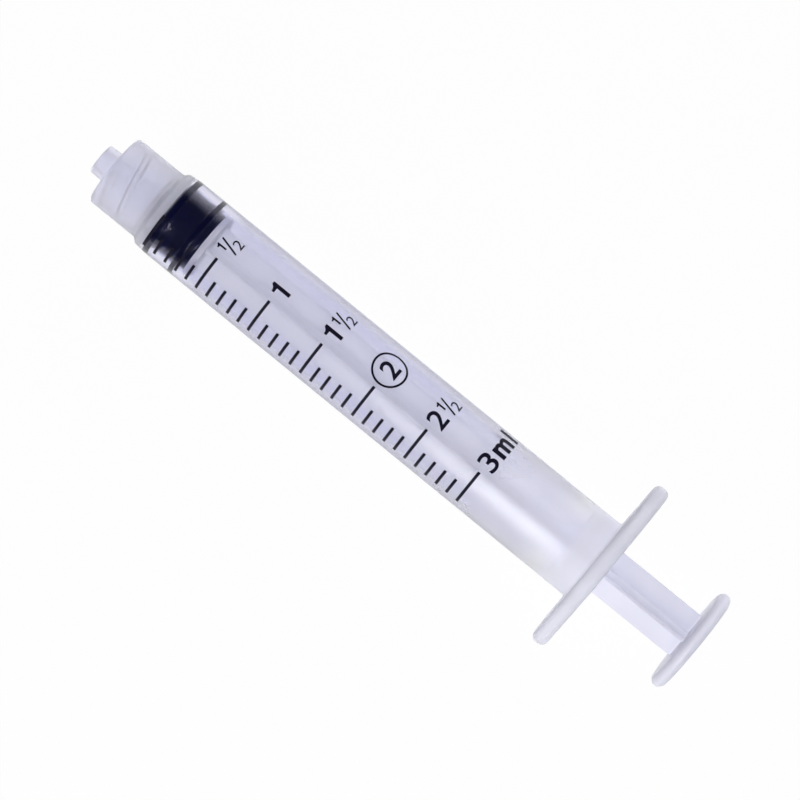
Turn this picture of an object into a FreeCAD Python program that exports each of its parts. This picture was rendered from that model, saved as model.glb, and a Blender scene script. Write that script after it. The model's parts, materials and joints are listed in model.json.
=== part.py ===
import FreeCAD, Part
import math
import os

from FreeCAD import Rotation, Vector

# Luer lock syringe of 3 ml with its plunger pushed home, lying on a table.
# Lengths are in millimetres and angles in degrees.
# Each piece is first made about the X axis: the zero line of the scale is at x = 0,
# the nozzle points to -X, the thumb press to +X, and the printed scale looks up to +Z.
# At the end the whole syringe is laid down on its flange and its shoulder.

# Capacity, bore and wall of the barrel. The length of the scale follows from the
# capacity and the bore, so it isn't a size of its own.
capacity_ml = 3.0
bore_dia = 8.96
barrel_wall = 0.895
tube_past_full_mark = 17.0
bore_mouth_chamfer = 0.3

# End wall inside the barrel: a shallow cone that ends in a small pit at the channel
bore_end_gap = 0.3
cone_depth = 0.85
pit_mouth_dia = 3.8
pit_floor_dia = 2.7
pit_depth = 0.95
end_wall = 1.0

# Ring inside the rear of the bore that keeps the plunger from being pulled out
bead_from_rear = 4.9
bead_width = 1.3
bead_height = 0.22
bead_slope = 0.35

# Luer nozzle with its six per cent taper
nozzle_tip_dia = 3.93
nozzle_taper = 0.06
nozzle_length = 8.56
nozzle_tip_chamfer = 0.3
nozzle_root_chamfer = 0.25
channel_dia = 2.2

# Collar round the nozzle, with a right-hand thread of two starts inside.
# The round on its front edge may take this share of the wall that the chamfer leaves.
collar_round_share = 0.9
collar_wall = 0.675
nozzle_proud = 2.1
collar_round = 0.42
collar_mouth_chamfer = 0.2
collar_root_chamfer = 0.2
thread_root_dia = 8.05
thread_crest_dia = 7.1
thread_lead = 5.0
thread_starts = 2
thread_crest_width = 0.45
thread_root_width = 0.95
thread_bite = 0.15
thread_front_gap = 0.35
thread_floor_gap = 1.1

# Shoulder between the collar and the barrel: a steep cone, then a gentle one
shoulder_setback = 0.42
shoulder_steep_length = 0.55
shoulder_gentle_length = 1.55
shoulder_gentle_rise = 0.17

# Finger flange: straight sides between round ends and round middles
flange_thickness = 1.95
flange_half_length = 12.45
flange_end_radius = 3.8
flange_half_width = 7.4
flange_middle_radius = 3.6
flange_rim_round = 0.8
flange_root_chamfer = 0.35

# Printed scale, as thin plates of ink on the barrel
mark_step_ml = 0.1
marks_per_long_mark = 5
mark_width = 0.38
mark_lower_angle = 61.0
short_mark_upper_angle = 31.0
long_mark_upper_angle = 4.5
ink_thickness = 0.03
ink_seat = 0.005

# Rubber seal with two ribs that run in the bore
rib_clearance = 0.03
nose_gap = 0.15
waist_dia = 8.1
front_rib_width = 0.75
rear_rib_start = 3.83
rear_rib_width = 0.65
rib_flank = 0.25
seal_length = 5.36
seal_rear_chamfer = 0.25

# Head of the plunger, which snaps into the seal from behind
head_start = 0.9
head_tip_dia = 2.6
head_cone_length = 1.1
head_dia = 4.8
head_rim_length = 0.6
head_back_slope = 0.35
neck_dia = 3.2
head_clearance = 0.06
guide_dia = 8.66
guide_thickness = 0.8
guide_chamfer = 0.12

# Cross-shaped rod, with blades that thin towards their edges, and thumb press
rod_width = 6.05
blade_root = 1.1
blade_edge = 0.45
blade_root_round = 0.3
rod_turn = 12.0
bare_rod_length = 12.02
thumb_dia = 13.7
thumb_thickness = 1.68
thumb_chamfer = 0.55
stop_clearance = 0.2

# How far a cutting shape runs past the face that it opens
cut_past = 1.0

# Sizes that follow
bore_r = bore_dia / 2
barrel_r = bore_r + barrel_wall
channel_r = channel_dia / 2
thread_root_r = thread_root_dia / 2
collar_r = thread_root_r + collar_wall
mm3_per_ml = 1000.0
ml_length = mm3_per_ml / (math.pi * bore_r ** 2)
full_mark_x = capacity_ml * ml_length

pit_mouth_x = -bore_end_gap - cone_depth
pit_floor_x = pit_mouth_x - pit_depth
collar_floor_x = pit_mouth_x - end_wall
nozzle_tip_x = collar_floor_x - nozzle_length
collar_front_x = nozzle_tip_x + nozzle_proud
shoulder_x = collar_floor_x + shoulder_setback
shoulder_break_x = shoulder_x + shoulder_steep_length
shoulder_end_x = shoulder_break_x + shoulder_gentle_length
flange_front_x = full_mark_x + tube_past_full_mark
flange_rear_x = flange_front_x + flange_thickness
bead_x = flange_rear_x - bead_from_rear

guide_front_x = seal_length + head_clearance
guide_rear_x = guide_front_x + guide_thickness
thumb_front_x = flange_rear_x + bare_rod_length
thumb_rear_x = thumb_front_x + thumb_thickness
plunger_travel = bead_x - bead_width / 2 - guide_rear_x - stop_clearance

axis_x = Vector(1, 0, 0)
axis_y = Vector(0, 1, 0)
origin = Vector(0, 0, 0)


def rounded_wire(corners):
    """Closed wire through corners given as (x, y, radius), each with its own round."""
    starts = []
    ends = []
    arcs = []
    count = len(corners)
    for index in range(count):
        x, y, radius = corners[index]
        here = Vector(x, y, 0)
        before = Vector(corners[index - 1][0], corners[index - 1][1], 0)
        after = Vector(corners[(index + 1) % count][0], corners[(index + 1) % count][1], 0)
        back = (before - here).normalize()
        on = (after - here).normalize()
        if radius > 0:
            half = back.getAngle(on) / 2
            start = here + back * (radius / math.tan(half))
            end = here + on * (radius / math.tan(half))
            middle = here + (back + on).normalize() * (radius / math.sin(half) - radius)
            arcs.append(Part.Arc(start, middle, end).toShape())
        else:
            start = here
            end = here
            arcs.append(None)
        starts.append(start)
        ends.append(end)
    edges = []
    for index in range(count):
        if arcs[index] is not None:
            edges.append(arcs[index])
        edges.append(Part.makeLine(ends[index], starts[(index + 1) % count]))
    return Part.Wire(edges)


def turned(corners):
    """Solid of revolution about the X axis from corners given as (x, radius, round)."""
    return Part.Face(rounded_wire(corners)).revolve(origin, axis_x, 360)


def cylinder(x, radius, length):
    return Part.makeCylinder(radius, length, Vector(x, 0, 0), axis_x)


def edges_where(shape, test):
    return [edge for edge in shape.Edges if test(edge)]


# Barrel: nozzle, collar, shoulder, tube and bore in one turned section
def barrel_section():
    nozzle_tip_r = nozzle_tip_dia / 2
    nozzle_root_r = nozzle_tip_r + nozzle_taper / 2 * nozzle_length
    bead_rear_x = bead_x + bead_width / 2
    bead_front_x = bead_x - bead_width / 2
    front_round = min(collar_round, collar_round_share * (collar_wall - collar_mouth_chamfer))
    return [
        (nozzle_tip_x, channel_r, 0),
        (nozzle_tip_x, nozzle_tip_r - nozzle_tip_chamfer, 0),
        (nozzle_tip_x + nozzle_tip_chamfer, nozzle_tip_r, 0),
        (collar_floor_x - nozzle_root_chamfer, nozzle_root_r, 0),
        (collar_floor_x, nozzle_root_r + nozzle_root_chamfer, 0),
        (collar_floor_x, thread_root_r - collar_root_chamfer, 0),
        (collar_floor_x - collar_root_chamfer, thread_root_r, 0),
        (collar_front_x + collar_mouth_chamfer, thread_root_r, 0),
        (collar_front_x, thread_root_r + collar_mouth_chamfer, 0),
        (collar_front_x, collar_r, front_round),
        (shoulder_x, collar_r, 0),
        (shoulder_break_x, barrel_r - shoulder_gentle_rise, 0),
        (shoulder_end_x, barrel_r, 0),
        (flange_front_x - flange_root_chamfer, barrel_r, 0),
        (flange_front_x, barrel_r + flange_root_chamfer, 0),
        (flange_rear_x, barrel_r + flange_root_chamfer, 0),
        (flange_rear_x, bore_r + bore_mouth_chamfer, 0),
        (flange_rear_x - bore_mouth_chamfer, bore_r, 0),
        (bead_rear_x, bore_r, 0),
        (bead_rear_x - bead_slope, bore_r - bead_height, 0),
        (bead_front_x + bead_slope, bore_r - bead_height, 0),
        (bead_front_x, bore_r, 0),
        (-bore_end_gap, bore_r, 0),
        (pit_mouth_x, pit_mouth_dia / 2, 0),
        (pit_floor_x, pit_floor_dia / 2, 0),
        (pit_floor_x, channel_r, 0),
    ]


# Straight side of the flange: the line that touches an end circle and a middle circle
end_centre = flange_half_length - flange_end_radius
middle_centre = flange_half_width - flange_middle_radius
side_slope = math.atan2(middle_centre, end_centre) + math.asin(
    (flange_middle_radius - flange_end_radius) / math.hypot(end_centre, middle_centre))
side_height = middle_centre * math.cos(side_slope) + flange_middle_radius


def flange_outline(x):
    """Outline of the flange in the plane at x, long way along Y, with tangent sides."""
    def at(centre_y, centre_z, radius, angle):
        return Vector(x, centre_y + radius * math.cos(angle), centre_z + radius * math.sin(angle))

    normal = math.pi / 2 - side_slope
    edges = []
    previous_end = None
    first_start = None
    for quarter in range(4):
        middle_angle = quarter * math.pi / 2
        if quarter % 2 == 0:
            sign = 1 - quarter
            centre = (sign * end_centre, 0, flange_end_radius)
            spread = normal
        else:
            sign = 2 - quarter
            centre = (0, sign * middle_centre, flange_middle_radius)
            spread = math.pi / 2 - normal
        start = at(*centre, middle_angle - spread)
        middle = at(*centre, middle_angle)
        end = at(*centre, middle_angle + spread)
        if previous_end is not None:
            edges.append(Part.makeLine(previous_end, start))
        else:
            first_start = start
        edges.append(Part.Arc(start, middle, end).toShape())
        previous_end = end
    edges.append(Part.makeLine(previous_end, first_start))
    return Part.Wire(edges)


def flange():
    plate = Part.Face(flange_outline(flange_front_x)).extrude(axis_x * flange_thickness)
    rim = edges_where(plate, lambda edge: edge.BoundBox.XLength < flange_rim_round)
    plate = plate.makeFillet(flange_rim_round, rim)
    hole_length = flange_thickness + 2 * cut_past
    hole = cylinder(flange_front_x - cut_past, bore_r + barrel_wall / 2, hole_length)
    return plate.cut(hole).rotate(origin, axis_x, math.degrees(side_slope))


def luer_threads():
    """Ridges of the luer lock thread, swept along right-hand helices in the collar."""
    crest_r = thread_crest_dia / 2
    flank = (thread_root_width - thread_crest_width) / 2 / (thread_root_r - crest_r)
    foot_r = thread_root_r + thread_bite
    foot_half = thread_root_width / 2 + flank * thread_bite
    crest_half = thread_crest_width / 2
    start_x = collar_front_x + thread_front_gap + thread_root_width / 2
    end_x = collar_floor_x - thread_floor_gap - thread_root_width / 2
    profile = Part.makePolygon([
        Vector(foot_r, 0, -foot_half),
        Vector(crest_r, 0, -crest_half),
        Vector(crest_r, 0, crest_half),
        Vector(foot_r, 0, foot_half),
        Vector(foot_r, 0, -foot_half),
    ])
    helix = Part.makeHelix(thread_lead, end_x - start_x, foot_r)
    ridge = Part.Wire(helix.Edges).makePipeShell([profile], True, True)
    ridge.rotate(origin, axis_y, 90)
    ridge.translate(Vector(start_x, 0, 0))
    ridges = []
    for start in range(thread_starts):
        ridges.append(ridge.copy().rotate(origin, axis_x, start * 360.0 / thread_starts))
    return ridges


def make_barrel():
    return turned(barrel_section()).fuse([flange()] + luer_threads()).removeSplitter()


# Scale: one plate of ink for each tenth of a millilitre, longer at each half
def make_scale_marks():
    marks = []
    inner_r = barrel_r + ink_seat
    outer_r = inner_r + ink_thickness
    count = int(round(capacity_ml / mark_step_ml)) + 1
    for index in range(count):
        upper = long_mark_upper_angle if index % marks_per_long_mark == 0 else short_mark_upper_angle
        x = index * mark_step_ml * ml_length
        plate = Part.Face(Part.makePolygon([
            Vector(x - mark_width / 2, inner_r, 0),
            Vector(x + mark_width / 2, inner_r, 0),
            Vector(x + mark_width / 2, outer_r, 0),
            Vector(x - mark_width / 2, outer_r, 0),
            Vector(x - mark_width / 2, inner_r, 0),
        ])).revolve(origin, axis_x, mark_lower_angle - upper)
        marks.append(plate.rotate(origin, axis_x, 90 + upper))
    return Part.makeCompound(marks)


# Seal: nose that fits the end wall, two ribs, and an undercut pocket for the head
def head_section(gap):
    """Outline of the plunger head and neck, or of the pocket round it when gap > 0."""
    tip_r = head_tip_dia / 2 + gap
    rim_r = head_dia / 2 + gap
    cone_end_x = head_start + head_cone_length
    rim_end_x = cone_end_x + head_rim_length + gap
    neck_r = neck_dia / 2 + gap
    return [
        (head_start - gap, 0, 0),
        (head_start - gap, tip_r, 0),
        (cone_end_x - gap, rim_r, 0),
        (rim_end_x, rim_r, 0),
        (rim_end_x + head_back_slope, neck_r, 0),
    ]


def make_piston_seal():
    rib_r = bore_r - rib_clearance
    waist_r = waist_dia / 2
    cone_slope = cone_depth / (bore_r - pit_mouth_dia / 2)
    nose_base_x = nose_gap - bore_end_gap - cone_slope * (bore_r - waist_r)
    rear_rib_end = rear_rib_start + rear_rib_width
    body = turned([
        (pit_floor_x + nose_gap, 0, 0),
        (pit_floor_x + nose_gap, pit_floor_dia / 2, 0),
        (pit_mouth_x + nose_gap, pit_mouth_dia / 2, 0),
        (nose_base_x, waist_r, 0),
        (0, waist_r, 0),
        (0, rib_r, 0),
        (front_rib_width, rib_r, 0),
        (front_rib_width + rib_flank, waist_r, 0),
        (rear_rib_start - rib_flank, waist_r, 0),
        (rear_rib_start, rib_r, 0),
        (rear_rib_end, rib_r, 0),
        (rear_rib_end + rib_flank, waist_r, 0),
        (seal_length - seal_rear_chamfer, waist_r, 0),
        (seal_length, waist_r - seal_rear_chamfer, 0),
        (seal_length, 0, 0),
    ])
    neck_hole_r = neck_dia / 2 + head_clearance
    past_rear = seal_length + cut_past
    pocket = turned(head_section(head_clearance) + [
        (past_rear, neck_hole_r, 0),
        (past_rear, 0, 0),
    ])
    return body.cut(pocket)


# Plunger: head, neck, guide disc, cross-shaped rod and thumb press in one moulding
def cross_face(x):
    """Section of the rod at x: four blades that thin from the middle to their edges."""
    root = blade_root / 2
    edge = blade_edge / 2
    tip = rod_width / 2
    corners = []
    for blade in range(4):
        turn = Rotation(axis_x, 90 * blade)
        for y, z in ((root, -root), (tip, -edge), (tip, edge)):
            corners.append(turn.multVec(Vector(x, y, z)))
    corners.append(corners[0])
    return Part.Face(Part.makePolygon(corners))


def make_plunger():
    neck_r = neck_dia / 2
    guide_r = guide_dia / 2
    thumb_r = thumb_dia / 2
    front = turned(head_section(0) + [
        (guide_front_x, neck_r, 0),
        (guide_front_x, guide_r - guide_chamfer, 0),
        (guide_front_x + guide_chamfer, guide_r, 0),
        (guide_rear_x - guide_chamfer, guide_r, 0),
        (guide_rear_x, guide_r - guide_chamfer, 0),
        (guide_rear_x, 0, 0),
    ])
    rod_start = guide_front_x + guide_thickness / 2
    rod_end = thumb_front_x + thumb_thickness / 2
    rod = cross_face(rod_start).extrude(axis_x * (rod_end - rod_start))
    inner = edges_where(rod, lambda edge: edge.BoundBox.XLength > guide_thickness
                        and math.hypot(edge.CenterOfMass.y, edge.CenterOfMass.z) < blade_root)
    rod = rod.makeFillet(blade_root_round, inner)
    rod.rotate(origin, axis_x, rod_turn)
    thumb = turned([
        (thumb_front_x, 0, 0),
        (thumb_front_x, thumb_r - thumb_chamfer, 0),
        (thumb_front_x + thumb_chamfer, thumb_r, 0),
        (thumb_rear_x - thumb_chamfer, thumb_r, 0),
        (thumb_rear_x, thumb_r - thumb_chamfer, 0),
        (thumb_rear_x, 0, 0),
    ])
    return front.fuse([rod, thumb]).removeSplitter()


# Laid down: the flange stands on one straight side and the shoulder touches in front
flange_contact_x = flange_front_x + flange_rim_round
rest_tilt = math.atan2(side_height - barrel_r, flange_contact_x - shoulder_end_x)


def laid_down(shape):
    return shape.rotate(origin, axis_y, -math.degrees(rest_tilt))


pieces = {
    "barrel": laid_down(make_barrel()),
    "scale_marks": laid_down(make_scale_marks()),
    "piston_seal": laid_down(make_piston_seal()),
    "plunger": laid_down(make_plunger()),
}

# The origin is on the table, under the middle of the whole syringe
box = Part.makeCompound(list(pieces.values())).optimalBoundingBox(False)
drop = Vector(-box.Center.x, -box.Center.y, -box.ZMin)

os.makedirs("parts", exist_ok=True)
for name, shape in pieces.items():
    shape.translate(drop)
    shape.exportStep("parts/" + name + ".step")
    print(name, len(shape.Solids), shape.isValid(), round(shape.Volume, 3))
print("tilt", math.degrees(rest_tilt), "side slope", math.degrees(side_slope))
print("travel", plunger_travel, "box", box.XLength, box.YLength, box.ZLength)
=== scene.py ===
import bmesh
import bpy
import json
import math
from mathutils import Matrix, Vector


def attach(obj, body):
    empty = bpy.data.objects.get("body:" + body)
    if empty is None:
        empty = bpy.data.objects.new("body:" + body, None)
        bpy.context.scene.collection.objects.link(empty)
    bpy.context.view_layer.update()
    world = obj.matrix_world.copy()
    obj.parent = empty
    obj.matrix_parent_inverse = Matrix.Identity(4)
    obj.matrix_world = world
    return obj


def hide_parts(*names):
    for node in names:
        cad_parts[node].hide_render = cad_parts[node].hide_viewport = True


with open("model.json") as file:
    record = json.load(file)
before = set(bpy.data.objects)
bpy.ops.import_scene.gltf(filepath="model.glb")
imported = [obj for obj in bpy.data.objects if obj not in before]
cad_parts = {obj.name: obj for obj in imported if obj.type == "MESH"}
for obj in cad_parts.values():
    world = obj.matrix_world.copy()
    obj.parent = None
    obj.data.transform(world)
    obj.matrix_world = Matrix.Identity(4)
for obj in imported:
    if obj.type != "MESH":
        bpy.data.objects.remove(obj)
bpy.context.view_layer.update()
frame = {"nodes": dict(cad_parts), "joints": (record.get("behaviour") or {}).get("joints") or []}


# Barrel. One clear polypropylene moulding: male luer nozzle inside a threaded collar,
# shoulder, long tube and finger flange. The mould is polished, so the plastic is glossy
# and lets light through with a slight milky cast.
bore_radius = 4.48
tube_radius = 5.375
end_cone_start, pit_start, pit_end = -0.3, -1.15, -2.1
pit_mouth_radius, pit_floor_radius = 1.9, 1.35
channel_radius = 1.1
nozzle_tip, nozzle_front_radius, nozzle_root_radius = -10.71, 1.965, 2.222
collar_floor, collar_front = -2.15, -8.61
collar_inner_radius, collar_outer_radius = 4.025, 4.7
thread_crest_radius, thread_lead, thread_starts = 3.55, 5.0, 2
thread_crest_width, thread_root_width = 0.45, 0.95
thread_begin, thread_end, thread_fade = -7.785, -3.725, 0.22
shoulder_start, shoulder_break, shoulder_end = -1.73, -1.18, 0.37
shoulder_break_radius = 5.205
flange_front, flange_rear = 64.5826, 66.5326
flange_end_centre, flange_end_radius = 8.65, 3.8
flange_middle_centre, flange_middle_radius = 3.8, 3.6
flange_rim_round, flange_rim_steps = 0.8, 6
flange_root_round, flange_root_reach = 0.45, 0.6
stop_ring_middle, stop_ring_half_width = 61.6326, 0.65
stop_ring_height, stop_ring_slope, stop_ring_round = 0.22, 0.35, 0.3
bore_mouth_round, bore_mouth_reach = 0.3, 1.0
channel_round, nozzle_tip_round, nozzle_root_round = 0.12, 0.3, 0.25
collar_edge_round, collar_front_round = 0.2, 0.45
shoulder_start_round, shoulder_break_round, shoulder_end_round = 0.25, 0.3, 0.4
end_cone_round, pit_mouth_round = 0.1, 0.15
barrel_columns, thread_rows = 192, 96

# the syringe's own frame, in mm from the scale's zero line, as it lies on the table
slide, turn = frame["joints"][:2]
lying = (Matrix.Translation(Vector(turn["pos_m"]))
         @ Vector((1, 0, 0)).rotation_difference(Vector(slide["axis"])).to_matrix().to_4x4()
         @ Matrix.Scale(0.001, 4))


def rounded(corners, steps=5):
    """The corners (x, radius, round) of an open outline, with each round as an arc."""
    points = []
    for number, (x, y, size) in enumerate(corners):
        here = Vector((x, y))
        if size == 0 or number in (0, len(corners) - 1):
            points.append(here)
            continue
        back = (Vector(corners[number - 1][:2]) - here).normalized()
        on = (Vector(corners[number + 1][:2]) - here).normalized()
        half = back.angle(on) / 2
        centre = here + (back + on).normalized() * size / math.sin(half)
        first = here + back * size / math.tan(half) - centre
        last = here + on * size / math.tan(half) - centre
        sweep = first.angle_signed(last)
        for step in range(steps + 1):
            turned = first.copy()
            turned.rotate(Matrix.Rotation(-sweep * step / steps, 2))
            points.append(centre + turned)
    return points


def ring(x, radius, columns=barrel_columns):
    """A circle of points about the axis at x."""
    points = []
    for column in range(columns):
        angle = math.tau * column / columns
        points.append((x, radius * math.cos(angle), radius * math.sin(angle)))
    return points


# a turned solid piece closes at each end with a flat cap of this radius
cap_radius = 0.02


def skinned(name, rings, closed=False):
    """A mesh laid over rings of points, lying as the syringe lies. A closed one, such as a
    tube, joins its last ring to its first, and an open one gets a cap at each end."""
    points = []
    faces = []
    for row in rings:
        points.extend(row)
    columns = len(rings[0])
    pairs = len(rings) if closed else len(rings) - 1
    for row in range(pairs):
        low = row * columns
        high = (row + 1) % len(rings) * columns
        for column in range(columns):
            beside = (column + 1) % columns
            faces.append((low + column, low + beside, high + beside, high + column))
    if not closed:
        faces.append(tuple(reversed(range(columns))))
        faces.append(tuple(range(len(points) - columns, len(points))))
    mesh = bpy.data.meshes.new(name)
    mesh.from_pydata(points, [], faces)
    mesh.transform(lying)
    mesh.validate()
    piece = bpy.data.objects.new(name, mesh)
    bpy.context.scene.collection.objects.link(piece)
    smoothed(piece)
    return piece


def smoothed(piece, sharp=35):
    """Faces smooth, edges sharper than the angle kept sharp, and all faces outward."""
    bpy.context.view_layer.objects.active = piece
    bpy.ops.object.select_all(action="DESELECT")
    piece.select_set(True)
    bpy.ops.object.mode_set(mode="EDIT")
    bpy.ops.mesh.select_all(action="SELECT")
    bpy.ops.mesh.normals_make_consistent(inside=False)
    bpy.ops.object.mode_set(mode="OBJECT")
    piece.data.shade_smooth()
    piece.data.set_sharp_from_angle(angle=math.radians(sharp))


# the flange lies turned about the axis until one straight side is level
side_turn = math.atan2(flange_middle_centre, flange_end_centre) + math.asin(
    (flange_middle_radius - flange_end_radius)
    / math.hypot(flange_end_centre, flange_middle_centre))
side_normal = math.pi / 2 - side_turn
side_distance = flange_end_centre * math.cos(side_normal) + flange_end_radius


def flange_ring(x, inset):
    """The flange's outline at x, drawn in from the rim by the inset: a round at each end
    and in the middle, and a straight side between them."""
    points = []
    across, up = math.cos(side_normal), math.sin(side_normal)
    end_limit = math.atan2(flange_end_radius * up, flange_end_centre + flange_end_radius * across)
    middle_limit = math.atan2(flange_middle_centre + flange_middle_radius * up,
                              flange_middle_radius * across)
    for column in range(barrel_columns):
        angle = math.tau * column / barrel_columns - side_turn
        right = math.copysign(1, math.cos(angle))
        top = math.copysign(1, math.sin(angle))
        steep = math.atan2(abs(math.sin(angle)), abs(math.cos(angle)))
        ray = Vector((math.cos(steep), math.sin(steep)))
        if steep < end_limit:
            centre = Vector((flange_end_centre, 0))
            spot = ray * (centre.dot(ray) + math.sqrt(flange_end_radius ** 2 - (centre.x * ray.y) ** 2))
            outward = spot - centre
        elif steep > middle_limit:
            centre = Vector((0, flange_middle_centre))
            spot = ray * (centre.dot(ray) + math.sqrt(flange_middle_radius ** 2 - (centre.y * ray.x) ** 2))
            outward = spot - centre
        else:
            spot = ray * side_distance / math.cos(steep - side_normal)
            outward = Vector((across, up))
        spot -= outward.normalized() * inset
        spot = Vector((spot.x * right, spot.y * top))
        spot.rotate(Matrix.Rotation(side_turn, 2))
        points.append((x, spot.x, spot.y))
    return points


def thread_height(x, angle):
    """How far the ridges of the thread stand in from the collar's wall at x and angle. They
    rise and die away softly, over the fade in radians to either side of their ends."""
    height = 0.0
    length = math.tau * (thread_end - thread_begin) / thread_lead
    flank_width = (thread_root_width - thread_crest_width) / 2
    for start in range(thread_starts):
        along = (angle + math.pi / 2 - math.tau * start / thread_starts) % math.tau
        for lap in (along, along - math.tau, along + math.tau):
            if -thread_fade < lap < length + thread_fade:
                middle = thread_begin + thread_lead * lap / math.tau
                flank = (thread_root_width / 2 - abs(x - middle)) / flank_width
                ends = min(lap + thread_fade, length + thread_fade - lap) / (2 * thread_fade)
                rise = max(0.0, min(1.0, flank)) * max(0.0, min(1.0, ends))
                height = max(height, rise)
    smooth = height * height * (3 - 2 * height)
    return smooth * (collar_inner_radius - thread_crest_radius)


# the barrel's skin runs from the pit through the channel and over the nozzle to the collar's
# floor, then along the collar's threaded wall, which lies just inside its two smooth ends
smooth_end, floor_gap, front_gap = 0.21, 0.24, 0.22
wall_start, wall_end = collar_floor - floor_gap, collar_front + front_gap
rows = []
for spot in rounded([
        (pit_end, pit_floor_radius, 0),
        (pit_end, channel_radius, channel_round),
        (nozzle_tip, channel_radius, channel_round),
        (nozzle_tip, nozzle_front_radius, nozzle_tip_round),
        (collar_floor, nozzle_root_radius, nozzle_root_round),
        (collar_floor, collar_inner_radius, collar_edge_round),
        (collar_floor - smooth_end, collar_inner_radius, 0)]):
    rows.append(ring(spot.x, spot.y))
for step in range(thread_rows + 1):
    x = wall_start + (wall_end - wall_start) * step / thread_rows
    row = []
    for column in range(barrel_columns):
        angle = math.tau * column / barrel_columns
        radius = collar_inner_radius - thread_height(x, angle)
        row.append((x, radius * math.cos(angle), radius * math.sin(angle)))
    rows.append(row)

# then over the collar, shoulder and tube, round the flange's rim and back through the bore
# to the pit, whose last point is left off because it is the skin's first
for spot in rounded([
        (collar_front + smooth_end, collar_inner_radius, 0),
        (collar_front, collar_inner_radius, collar_edge_round),
        (collar_front, collar_outer_radius, collar_front_round),
        (shoulder_start, collar_outer_radius, shoulder_start_round),
        (shoulder_break, shoulder_break_radius, shoulder_break_round),
        (shoulder_end, tube_radius, shoulder_end_round),
        (flange_front, tube_radius, flange_root_round),
        (flange_front, tube_radius + flange_root_reach, 0)]):
    rows.append(ring(spot.x, spot.y))
for face, inward in ((flange_front, 1), (flange_rear, -1)):
    for step in range(flange_rim_steps + 1):
        bend = math.pi / 2 * (flange_rim_steps - step if inward > 0 else step) / flange_rim_steps
        rows.append(flange_ring(face + inward * flange_rim_round * (1 - math.sin(bend)),
                                flange_rim_round * (1 - math.cos(bend))))
ring_front = stop_ring_middle - stop_ring_half_width
ring_rear = stop_ring_middle + stop_ring_half_width
for spot in rounded([
        (flange_rear, bore_radius + bore_mouth_reach, 0),
        (flange_rear, bore_radius, bore_mouth_round),
        (ring_rear, bore_radius, stop_ring_round),
        (ring_rear - stop_ring_slope, bore_radius - stop_ring_height, stop_ring_round),
        (ring_front + stop_ring_slope, bore_radius - stop_ring_height, stop_ring_round),
        (ring_front, bore_radius, stop_ring_round),
        (end_cone_start, bore_radius, end_cone_round),
        (pit_start, pit_mouth_radius, pit_mouth_round),
        (pit_end, pit_floor_radius, 0)])[:-1]:
    rows.append(ring(spot.x, spot.y))
barrel = skinned("barrel_moulding", rows, closed=True)


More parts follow.
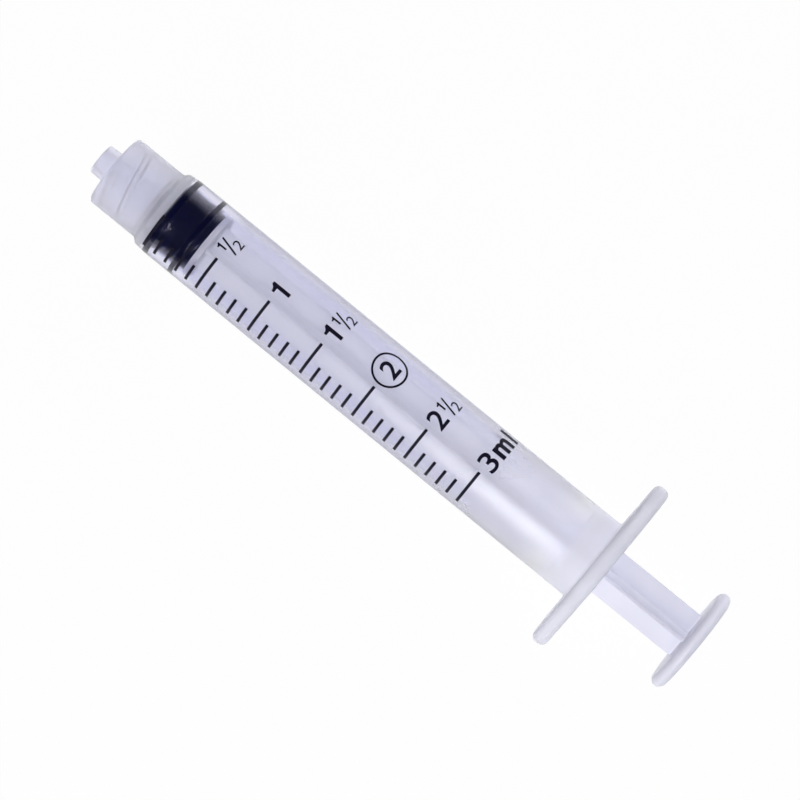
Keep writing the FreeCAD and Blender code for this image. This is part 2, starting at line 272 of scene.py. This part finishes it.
def plastic(name, stops, painted_edge_tint, mirror):
    """Clear to milky moulded plastic with faint clouds in it, and lamps reach what lies
    behind. Each stop is a place along the syringe in mm, tint, clearness and roughness.
    The tint given third is painted shade where the plastic is seen aslant, darker still at the very edge,
    on clear parts only, and mirror is how much it shines."""
    material = bpy.data.materials.new(name)
    material.use_nodes = True
    nodes = material.node_tree.nodes
    links = material.node_tree.links
    shader = nodes["Principled BSDF"]
    shader.inputs["IOR"].default_value = 1.49
    shader.inputs["Specular IOR Level"].default_value = mirror
    place = nodes.new("ShaderNodeTexCoord")
    clouds = nodes.new("ShaderNodeTexNoise")
    clouds.inputs["Scale"].default_value = 160
    clouds.inputs["Detail"].default_value = 3
    links.new(place.outputs["Object"], clouds.inputs["Vector"])
    length = nodes.new("ShaderNodeSeparateXYZ")
    links.new(place.outputs["Object"], length.inputs["Vector"])
    first, last = stops[0][0], stops[-1][0]
    along = nodes.new("ShaderNodeMapRange")
    along.inputs["From Min"].default_value = (lying @ Vector((first, 0, 0))).x
    along.inputs["From Max"].default_value = (lying @ Vector((last, 0, 0))).x
    links.new(length.outputs["X"], along.inputs["Value"])
    tint = nodes.new("ShaderNodeValToRGB")
    haze = nodes.new("ShaderNodeValToRGB")
    for ramp in (tint, haze):
        links.new(along.outputs["Result"], ramp.inputs["Fac"])
        while len(ramp.color_ramp.elements) < len(stops):
            ramp.color_ramp.elements.new(0.5)
    for number, (x, colour, clearness, rough) in enumerate(stops):
        for ramp, value in ((tint, (*colour, clearness)), (haze, (rough, rough, rough, 1))):
            ramp.color_ramp.elements[number].position = (x - first) / (last - first)
            ramp.color_ramp.elements[number].color = value
    links.new(tint.outputs["Alpha"], shader.inputs["Transmission Weight"])
    # painted shade: the clear plastic's colour turns darker and bluer where the surface is seen aslant,
    # darkest at the very edge
    slant = nodes.new("ShaderNodeLayerWeight")
    edge_shade_ramp = nodes.new("ShaderNodeValToRGB")
    edge_shade_ramp.color_ramp.interpolation = "EASE"
    edge_shade_ramp.color_ramp.elements[0].position = 0.05
    edge_shade_ramp.color_ramp.elements[0].color = (1, 1, 1, 1)
    edge_shade_ramp.color_ramp.elements[1].position = 0.26
    edge_shade_ramp.color_ramp.elements[1].color = (*painted_edge_tint, 1)
    for position, share in ((0.6, 1.0), (0.78, 0.75)):
        stop = edge_shade_ramp.color_ramp.elements.new(position)
        stop.color = (painted_edge_tint[0] * share, painted_edge_tint[1] * share, painted_edge_tint[2] * (1 + share) / 2, 1)
    links.new(slant.outputs["Facing"], edge_shade_ramp.inputs["Fac"])
    see_through = nodes.new("ShaderNodeMapRange")
    see_through.inputs["From Min"].default_value = 0.9
    see_through.inputs["From Max"].default_value = 0.998
    links.new(tint.outputs["Alpha"], see_through.inputs["Value"])
    edge_shaded = nodes.new("ShaderNodeMix")
    edge_shaded.data_type = "RGBA"
    edge_shaded.blend_type = "MULTIPLY"
    links.new(see_through.outputs["Result"], edge_shaded.inputs["Factor"])
    links.new(tint.outputs["Color"], edge_shaded.inputs["A"])
    links.new(edge_shade_ramp.outputs["Color"], edge_shaded.inputs["B"])
    cloudy = nodes.new("ShaderNodeMix")
    cloudy.data_type = "RGBA"
    cloudy.blend_type = "MULTIPLY"
    cloudy.inputs["B"].default_value = (0.93, 0.93, 0.96, 1)
    links.new(clouds.outputs["Fac"], cloudy.inputs["Factor"])
    links.new(edge_shaded.outputs["Result"], cloudy.inputs["A"])
    links.new(cloudy.outputs["Result"], shader.inputs["Base Color"])
    uneven = nodes.new("ShaderNodeMapRange")
    uneven.inputs["To Min"].default_value = 0.85
    uneven.inputs["To Max"].default_value = 1.15
    links.new(clouds.outputs["Fac"], uneven.inputs["Value"])
    gloss = nodes.new("ShaderNodeMath")
    gloss.operation = "MULTIPLY"
    links.new(haze.outputs["Color"], gloss.inputs[0])
    links.new(uneven.outputs["Result"], gloss.inputs[1])
    links.new(gloss.outputs["Value"], shader.inputs["Roughness"])
    path = nodes.new("ShaderNodeLightPath")
    through = nodes.new("ShaderNodeBsdfTransparent")
    through.inputs["Color"].default_value = (0.99, 0.99, 1.0, 1)
    mixed = nodes.new("ShaderNodeMixShader")
    links.new(path.outputs["Is Shadow Ray"], mixed.inputs["Fac"])
    links.new(shader.outputs["BSDF"], mixed.inputs[1])
    links.new(through.outputs["BSDF"], mixed.inputs[2])
    links.new(mixed.outputs["Shader"], nodes["Material Output"].inputs["Surface"])
    return material


barrel.data.materials.append(plastic("clear polypropylene", [
    (nozzle_tip, (0.845, 0.845, 0.92), 0.74, 0.36),
    (-0.36, (0.835, 0.835, 0.91), 0.72, 0.38),
    (-0.14, (0.965, 0.965, 0.99), 0.998, 0.11),
    (5.5, (0.965, 0.965, 0.99), 0.998, 0.11),
    (8.0, (0.98, 0.98, 1.0), 0.998, 0.24),
    (36.0, (0.98, 0.98, 1.0), 0.998, 0.24),
    (57.0, (1.0, 1.0, 1.0), 0.955, 0.3),
    (60.5, (0.97, 0.97, 0.99), 0.87, 0.36),
    (62.5, (0.9, 0.9, 0.955), 0.45, 0.5),
    (flange_rear, (0.87, 0.87, 0.93), 0.4, 0.5),
], (0.8, 0.8, 0.935), 0.15))
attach(barrel, "barrel")
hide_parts("barrel")


# Seal. One black rubber moulding with a nose that fills the barrel's end, a rib at each
# end that wipes the bore, and a waist between them. A film of silicone oil makes it shine.
rib_squeeze = 0.015
rib_radius = bore_radius + rib_squeeze
skirt_radius = 4.05
waist_radius, waist_hollow, waist_steps = 4.34, 0.12, 10
seal_nose_clear = 0.15
front_rib, front_rib_end = 0.0, 0.75
rear_rib, rear_rib_end = 3.83, 4.48
rib_flank, rib_round, rib_foot_round, nose_round = 0.2, 0.18, 0.1, 0.15
seal_rear, seal_rear_round = 5.36, 0.3
pocket_floor, pocket_cone_end, pocket_neck_start, pocket_neck_end = 0.84, 1.94, 2.66, 3.01
pocket_floor_radius, pocket_radius, pocket_mouth_radius = 1.3, 2.46, 1.66
pocket_round, pocket_mouth_round = 0.1, 0.15
seal_columns = 128
waist_front, waist_rear = front_rib_end + rib_flank, rear_rib - rib_flank
waist = []
for step in range(waist_steps + 1):
    across = 2 * step / waist_steps - 1
    waist.append((waist_rear + (waist_front - waist_rear) * step / waist_steps,
                  waist_radius - waist_hollow * (1 - across ** 2), 0))
seal_rows = []
for spot in rounded([
        (pocket_floor, cap_radius, 0),
        (pocket_floor, pocket_floor_radius, pocket_round),
        (pocket_cone_end, pocket_radius, pocket_round),
        (pocket_neck_start, pocket_radius, pocket_round),
        (pocket_neck_end, pocket_mouth_radius, pocket_round),
        (seal_rear, pocket_mouth_radius, pocket_mouth_round),
        (seal_rear, skirt_radius, seal_rear_round),
        (rear_rib_end + rib_flank, skirt_radius, rib_foot_round),
        (rear_rib_end, rib_radius, rib_round),
        (rear_rib, rib_radius, rib_round),
        *waist,
        (front_rib_end, rib_radius, rib_round),
        (front_rib, rib_radius, rib_round),
        (front_rib - rib_flank, skirt_radius, rib_foot_round),
        (pit_start + seal_nose_clear, pit_mouth_radius, nose_round),
        (pit_end + seal_nose_clear, pit_floor_radius, nose_round),
        (pit_end + seal_nose_clear, cap_radius, 0)]):
    seal_rows.append(ring(spot.x, spot.y, seal_columns))
seal = skinned("rubber_seal", seal_rows)


def speckled(name, grain_size, dark, light):
    """A dark material with fine speckles of a lighter shade, and the speckles' own node."""
    material = bpy.data.materials.new(name)
    material.use_nodes = True
    nodes = material.node_tree.nodes
    links = material.node_tree.links
    place = nodes.new("ShaderNodeTexCoord")
    specks = nodes.new("ShaderNodeTexNoise")
    specks.inputs["Scale"].default_value = grain_size
    links.new(place.outputs["Object"], specks.inputs["Vector"])
    shade = nodes.new("ShaderNodeMix")
    shade.data_type = "RGBA"
    shade.inputs["A"].default_value = (*dark, 1)
    shade.inputs["B"].default_value = (*light, 1)
    links.new(specks.outputs["Fac"], shade.inputs["Factor"])
    links.new(shade.outputs["Result"], nodes["Principled BSDF"].inputs["Base Color"])
    return material, specks


rubber, grain = speckled("oiled black rubber", 900, (0.0, 0.0, 0.01), (0.0, 0.001, 0.028))
nodes = rubber.node_tree.nodes
links = rubber.node_tree.links
shader = nodes["Principled BSDF"]
shader.inputs["Coat Weight"].default_value = 0.05
shader.inputs["Coat Roughness"].default_value = 0.2
shader.inputs["Specular IOR Level"].default_value = 0.5
shader.inputs["Specular Tint"].default_value = (0.85, 0.82, 1.0, 1)
gloss = nodes.new("ShaderNodeMapRange")
gloss.inputs["To Min"].default_value = 0.14
gloss.inputs["To Max"].default_value = 0.19
links.new(grain.outputs["Fac"], gloss.inputs["Value"])
links.new(gloss.outputs["Result"], shader.inputs["Roughness"])
seal.data.materials.append(rubber)
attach(seal, "seal")
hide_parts("piston_seal")


# Plunger. One milky polypropylene moulding: a head that snaps into the seal, a guide disc,
# a long rod of four thin blades, and a round thumb press. The rod's corners are softened
# by the mould.
guide_start, guide_end, guide_radius = 5.42, 6.22, 4.33
head_start, head_cone_end, head_rear, neck_start = 0.9, 2.0, 2.6, 2.95
head_radius, head_tip_radius, neck_radius = 2.4, 1.3, 1.6
head_round, guide_round, plunger_columns = 0.1, 0.12, 128
rod_half_width, blade_root, blade_edge, blade_corner = 3.025, 0.55, 0.225, 0.3
rod_turn = math.radians(12)
blade_edge_round, rod_overlap = 0.12, 0.4
thumb_front, thumb_rear, thumb_radius = 78.5526, 80.2326, 6.85
thumb_chamfer, thumb_round, thumb_columns = 0.5, 0.7, 160
plunger_rows = []
for spot in rounded([
        (head_start, cap_radius, 0),
        (head_start, head_tip_radius, head_round),
        (head_cone_end, head_radius, head_round),
        (head_rear, head_radius, head_round),
        (neck_start, neck_radius, head_round),
        (guide_start, neck_radius, head_round),
        (guide_start, guide_radius, guide_round),
        (guide_end, guide_radius, guide_round),
        (guide_end, cap_radius, 0)]):
    plunger_rows.append(ring(spot.x, spot.y, plunger_columns))
plunger = skinned("plunger_moulding", plunger_rows)

thumb_rows = []
for spot in rounded([
        (thumb_front, cap_radius, 0),
        (thumb_front, thumb_radius - thumb_chamfer, thumb_round),
        (thumb_front + thumb_chamfer, thumb_radius, thumb_round),
        (thumb_rear - thumb_chamfer, thumb_radius, thumb_round),
        (thumb_rear, thumb_radius - thumb_chamfer, thumb_round),
        (thumb_rear, cap_radius, 0)]):
    thumb_rows.append(ring(spot.x, spot.y, thumb_columns))
thumb_press = skinned("thumb_press", thumb_rows)

# each blade gives the cross its two edge corners and the inner corner to the next blade;
# its first and last points only aim the rounds between them, and are left off
aim_gap = 0.01
corner_outline = []
for blade in range(4):
    for corner in rounded([
            (blade_root, -blade_root - aim_gap, 0),
            (rod_half_width, -blade_edge, blade_edge_round),
            (rod_half_width, blade_edge, blade_edge_round),
            (blade_root, blade_root, blade_corner),
            (blade_edge, rod_half_width, 0)])[1:-1]:
        corner_outline.append(Matrix.Rotation(rod_turn + blade * math.pi / 2, 2) @ corner)
rod_rows = []
for x in (guide_end - rod_overlap, thumb_front + rod_overlap):
    rod_rows.append([(x, corner.x, corner.y) for corner in corner_outline])
rod = skinned("blades", rod_rows)

for other in (rod, thumb_press):
    weld = plunger.modifiers.new("one moulding", "BOOLEAN")
    weld.operation = "UNION"
    weld.solver = "EXACT"
    weld.object = other
    bpy.context.view_layer.objects.active = plunger
    bpy.ops.object.modifier_apply(modifier=weld.name)
    bpy.data.objects.remove(other)
smoothed(plunger)
# painted light: the rod's colour is lighter inside the barrel, up to 58 mm, than behind the flange, to
# make up for the shade the tube casts on it
plunger.data.materials.append(plastic("milky polypropylene", [
    (guide_end, (0.825, 0.825, 0.9), 0.6, 0.32),
    (58.0, (0.825, 0.825, 0.9), 0.6, 0.32),
    (66.0, (0.76, 0.76, 0.855), 0.6, 0.32),
    (thumb_front - 0.3, (0.76, 0.76, 0.855), 0.6, 0.32),
    (thumb_front + 0.1, (0.92, 0.92, 1.0), 0.5, 0.36),
    (thumb_rear, (0.92, 0.92, 1.0), 0.5, 0.36),
], (1, 1, 1), 0.4))
flats = plunger.modifiers.new("flat faces stay flat", "WEIGHTED_NORMAL")
flats.keep_sharp = True
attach(plunger, "plunger")
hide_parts("plunger")


# Printed scale. Dark ink rolled onto the tube: the graduation lines are the part's own
# plates, and the numerals beside them are thin skins of the same ink.
ink = speckled("print ink", 2500, (0.003, 0.002, 0.008), (0.01, 0.008, 0.025))[0]
shader = ink.node_tree.nodes["Principled BSDF"]
shader.inputs["Roughness"].default_value = 0.45
shader.inputs["Specular IOR Level"].default_value = 0.2
marks = frame["nodes"]["scale_marks"]
marks.data.materials.clear()
marks.data.materials.append(ink)


# Numerals of the same ink, read with the nozzle up. Each glyph is set into its own field
# on the tube: from its top to its bottom along the tube, measured from its graduation
# line in mm, and from its left to its right round the tube in degrees from the top.
ink_low, ink_high, cubic_mm_in_ml = 0.005, 0.035, 1000
ink_floor, ink_face = tube_radius + ink_low, tube_radius + ink_high
ml_length = cubic_mm_in_ml / (math.pi * bore_radius ** 2)
big = (-1.05, 1.5)
upper_small = (-1.1, 0.2)
lower_small = (0.25, 1.6)
stroke_of_fraction = (-1.06, 1.48)

# name, glyph, millilitres of its line, top and bottom, left, right, and added weight
numerals = [
    ("half_one", "1", 0.5, upper_small, 6.6, 12.0, 0.0),
    ("half_slash", "/", 0.5, stroke_of_fraction, 12.0, 21.5, 0.0),
    ("half_two", "2", 0.5, lower_small, 20.9, 30.7, 0.0),
    ("one", "1", 1.0, big, 6.9, 18.6, 0.0),
    ("one_half_one_whole", "1", 1.5, big, 6.9, 18.6, 0.03),
    ("one_half_one", "1", 1.5, upper_small, 26.1, 31.8, 0.0),
    ("one_half_slash", "/", 1.5, stroke_of_fraction, 32.0, 41.5, 0.0),
    ("one_half_two", "2", 1.5, lower_small, 40.5, 51.3, 0.0),
    ("two", "2", 2.0, (-1.1, 1.36), 16.3, 34.2, 0.015),
    ("two_half_two_whole", "2", 2.5, big, 4.5, 22.6, 0.012),
    ("two_half_one", "1", 2.5, upper_small, 26.1, 31.8, 0.0),
    ("two_half_slash", "/", 2.5, stroke_of_fraction, 32.0, 41.5, 0.0),
    ("two_half_two", "2", 2.5, lower_small, 40.5, 51.3, 0.0),
    ("three", "3", 3.0, (-1.2, 1.4), 3.7, 21.5, 0.01),
    ("millilitre_m", "m", 3.0, (-0.55, 1.35), 27.3, 57.1, 0.03),
    ("millilitre_l", "l", 3.0, (-1.2, 1.35), 64.9, 71.7, 0.02),
]


def inked(name, mesh, tick, top, bottom, left, right):
    """A flat mesh laid on the tube as a skin of ink: its field is filled from edge to edge."""
    shape = bmesh.new()
    shape.from_mesh(mesh)
    low = Vector([min(point.co[way] for point in shape.verts) for way in range(3)])
    high = Vector([max(point.co[way] for point in shape.verts) for way in range(3)])
    cuts, point_on_cut = 12, 0.00001
    for cut in range(1, cuts):
        bmesh.ops.bisect_plane(
            shape, geom=shape.verts[:] + shape.edges[:] + shape.faces[:], dist=point_on_cut,
            plane_co=(low.x + (high.x - low.x) * cut / cuts, 0, 0), plane_no=(1, 0, 0))
    for point in shape.verts:
        share = [(point.co[way] - low[way]) / (high[way] - low[way]) for way in range(3)]
        angle = math.radians(left + (right - left) * share[0])
        radius = ink_floor + (ink_face - ink_floor) * share[2]
        point.co = lying @ Vector((tick * ml_length + bottom + (top - bottom) * share[1],
                                   radius * math.sin(angle), radius * math.cos(angle)))
    bmesh.ops.recalc_face_normals(shape, faces=shape.faces[:])
    shape.to_mesh(mesh)
    shape.free()
    piece = bpy.data.objects.new(name, mesh)
    bpy.context.scene.collection.objects.link(piece)
    mesh.materials.append(ink)
    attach(piece, "barrel")


# the figure one has no foot and a bent flag, in a field one wide and one high
one_outline = [(0.56, 0), (1, 0), (1, 1), (0.66, 1), (0.5, 0.9),
               (0.28, 0.84), (0, 0.82), (0, 0.68), (0.56, 0.68)]
one_sides = len(one_outline)
one_points = [(x, y, height) for height in (0, 1) for x, y in one_outline]
one_faces = [tuple(range(one_sides)), tuple(range(one_sides, 2 * one_sides))]
for side in range(one_sides):
    beside = (side + 1) % one_sides
    one_faces.append((side, beside, one_sides + beside, one_sides + side))

for name, glyph, tick, (top, bottom), left, right, weight in numerals:
    if glyph == "1":
        mesh = bpy.data.meshes.new(name)
        mesh.from_pydata(one_points, [], one_faces)
        inked("numeral_" + name, mesh, tick, top, bottom, left, right)
        continue
    letter = bpy.data.curves.new(name, "FONT")
    letter.body = glyph
    letter.extrude = 0.1
    letter.offset = weight
    letter.resolution_u = 6
    holder = bpy.data.objects.new(name, letter)
    bpy.context.scene.collection.objects.link(holder)
    mesh = bpy.data.meshes.new_from_object(
        holder.evaluated_get(bpy.context.evaluated_depsgraph_get()))
    bpy.data.objects.remove(holder)
    inked("numeral_" + name, mesh, tick, top, bottom, left, right)

circle_outer, circle_stroke, circle_steps = 2.25, 0.26, 96
circle_tick, circle_middle, circle_left, circle_right = 2.0, 0.14, 0.9, 48.7
circle_points = []
circle_faces = []
for step in range(circle_steps):
    angle = math.tau * step / circle_steps
    for radius in (circle_outer, circle_outer - circle_stroke):
        for height in (0, 1):
            circle_points.append((radius * math.cos(angle), radius * math.sin(angle), height))
    now, then = 4 * step, 4 * ((step + 1) % circle_steps)
    for first, second in ((0, 1), (1, 3), (3, 2), (2, 0)):
        circle_faces.append((now + first, now + second, then + second, then + first))
circle_mesh = bpy.data.meshes.new("circle")
circle_mesh.from_pydata(circle_points, [], circle_faces)
inked("numeral_circle", circle_mesh, circle_tick,
      circle_middle - circle_outer, circle_middle + circle_outer, circle_left, circle_right)


# Table and light. A plain pale table top in a pale room, a soft lamp low on each side and
# one above, and two narrower ones that draw the bright streak along the tube and the seal.
def white_to_the_eye(name, colour, share):
    """A pale diffuse surface that the camera, glass and gloss see as nearly white."""
    material = bpy.data.materials.new(name)
    material.use_nodes = True
    nodes = material.node_tree.nodes
    links = material.node_tree.links
    diffuse = nodes["Principled BSDF"]
    diffuse.inputs["Base Color"].default_value = (*colour, 1)
    diffuse.inputs["Roughness"].default_value = 0.9
    glow = nodes.new("ShaderNodeEmission")
    path = nodes.new("ShaderNodeLightPath")
    seen = nodes.new("ShaderNodeMath")
    seen.operation = "MAXIMUM"
    links.new(path.outputs["Is Camera Ray"], seen.inputs[0])
    links.new(path.outputs["Is Glossy Ray"], seen.inputs[1])
    seen_through = nodes.new("ShaderNodeMath")
    seen_through.operation = "MAXIMUM"
    links.new(seen.outputs["Value"], seen_through.inputs[0])
    links.new(path.outputs["Is Transmission Ray"], seen_through.inputs[1])
    part = nodes.new("ShaderNodeMath")
    part.operation = "MULTIPLY"
    part.inputs[1].default_value = share
    links.new(seen_through.outputs["Value"], part.inputs[0])
    mixed = nodes.new("ShaderNodeMixShader")
    links.new(part.outputs["Value"], mixed.inputs["Fac"])
    links.new(diffuse.outputs["BSDF"], mixed.inputs[1])
    links.new(glow.outputs["Emission"], mixed.inputs[2])
    links.new(mixed.outputs["Shader"], nodes["Material Output"].inputs["Surface"])
    return material


bpy.ops.mesh.primitive_plane_add(size=6, location=(0, 0, 0))
table = bpy.context.object
table.name = "table_top"
table.data.materials.append(white_to_the_eye("white table", (0.9, 0.9, 0.9), 0.96))


def soft_lamp(name, place, long, wide, watts, mirrored):
    """A soft lamp at a place, long way along the syringe, aimed at its middle."""
    lamp = bpy.data.lights.new(name, "AREA")
    lamp.shape = "RECTANGLE"
    lamp.size = long
    lamp.size_y = wide
    lamp.energy = watts
    holder = bpy.data.objects.new(name, lamp)
    holder.location = place
    holder.rotation_euler = (Vector((0, 0, 0)) - Vector(place)).to_track_quat("-Z", "Y").to_euler()
    holder.visible_glossy = mirrored
    holder.visible_transmission = mirrored
    bpy.context.scene.collection.objects.link(holder)


soft_lamp("side_lamp", (0.0, -0.52, 0.3), 0.6, 0.6, 1.65, False)
soft_lamp("fill_lamp", (0.0, 0.6, 0.14), 0.6, 0.3, 2.15, False)
soft_lamp("top_lamp", (0.0, 0.08, 0.7), 0.5, 0.5, 1.1, False)
soft_lamp("streak_lamp", (0.17, -0.28, 0.5), 0.3, 0.16, 0.8, True)
soft_lamp("front_lamp", (0.1, -0.36, 0.4), 0.09, 0.18, 0.5, True)

room = bpy.data.worlds.new("pale room")
bpy.context.scene.world = room
room.use_nodes = True
nodes = room.node_tree.nodes
links = room.node_tree.links
background = nodes["Background"]
background.inputs["Color"].default_value = (0.97, 0.98, 1.0, 1)
path = nodes.new("ShaderNodeLightPath")
way = nodes.new("ShaderNodeTexCoord")
height = nodes.new("ShaderNodeSeparateXYZ")
links.new(way.outputs["Generated"], height.inputs["Vector"])
leaning = nodes.new("ShaderNodeMath")
leaning.operation = "MULTIPLY_ADD"
leaning.inputs[1].default_value = -0.35
links.new(height.outputs["Y"], leaning.inputs[0])
links.new(height.outputs["Z"], leaning.inputs[2])
ceiling = nodes.new("ShaderNodeMapRange")
ceiling.inputs["From Min"].default_value = -0.3
ceiling.inputs["From Max"].default_value = 0.0
ceiling.inputs["To Min"].default_value = 0.8
ceiling.inputs["To Max"].default_value = 0.02
links.new(leaning.outputs["Value"], ceiling.inputs["Value"])
level = nodes.new("ShaderNodeMath")
level.operation = "MAXIMUM"
links.new(path.outputs["Is Camera Ray"], level.inputs[0])
links.new(ceiling.outputs["Result"], level.inputs[1])
links.new(level.outputs["Value"], background.inputs["Strength"])


# Camera. It looks straight down on the table, turned so that the nozzle is at the upper
# left, about half a metre away.
camera_place = (0.00007, 0.00025, 0.514)
camera_turn = math.radians(39.23)
eye = bpy.data.cameras.new("camera")
eye.lens = 193.3
eye.sensor_width = 36
eye.clip_start = 0.01
camera = bpy.data.objects.new("camera", eye)
camera.location = camera_place
camera.rotation_euler = (0, 0, camera_turn)
bpy.context.scene.collection.objects.link(camera)
bpy.context.scene.camera = camera

bpy.context.scene.view_settings.view_transform = "Standard"
